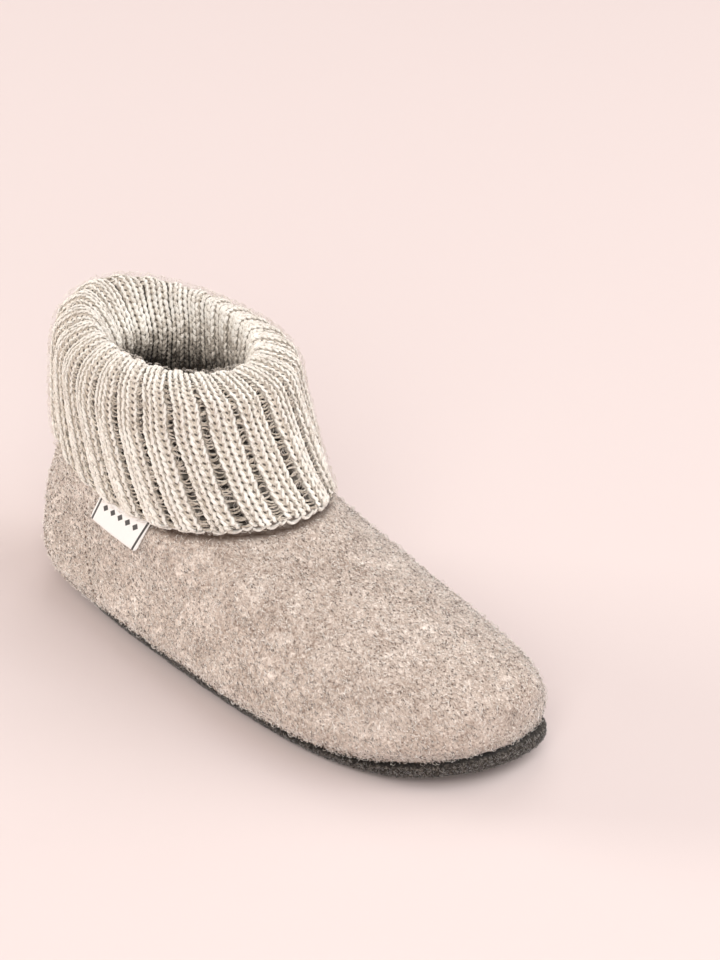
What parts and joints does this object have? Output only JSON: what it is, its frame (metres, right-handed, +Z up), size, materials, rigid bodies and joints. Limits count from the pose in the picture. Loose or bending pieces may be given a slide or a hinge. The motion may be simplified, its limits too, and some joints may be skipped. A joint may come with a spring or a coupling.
{
  "type": "slipper boot",
  "caption": "Ankle-high slipper boot of beige felted wool with a turned-down ecru rib-knit cuff and a flat charcoal felt sole.",
  "frame": {"origin": "middle of the underside of the boot's bounding box, on the floor", "axes": "+X to the toe, +Y to the wearer's left (the medial side of this right shoe), +Z up"},
  "size_m": [0.2748, 0.1056, 0.141],
  "materials": {
    "charcoal_felt": "dense dark wool felt, latex-coated underneath",
    "insole_felt": "soft wool felt",
    "wool_felt": "heathered felted wool with a short nap",
    "rib_knit": "ribbed wool knit",
    "ribbon": "woven satin ribbon"
  },
  "bodies": {
    "root": {"outsole": "charcoal_felt", "insole": "insole_felt", "upper": "wool_felt", "cuff": "rib_knit", "label": "ribbon"}
  },
  "joints": []
}
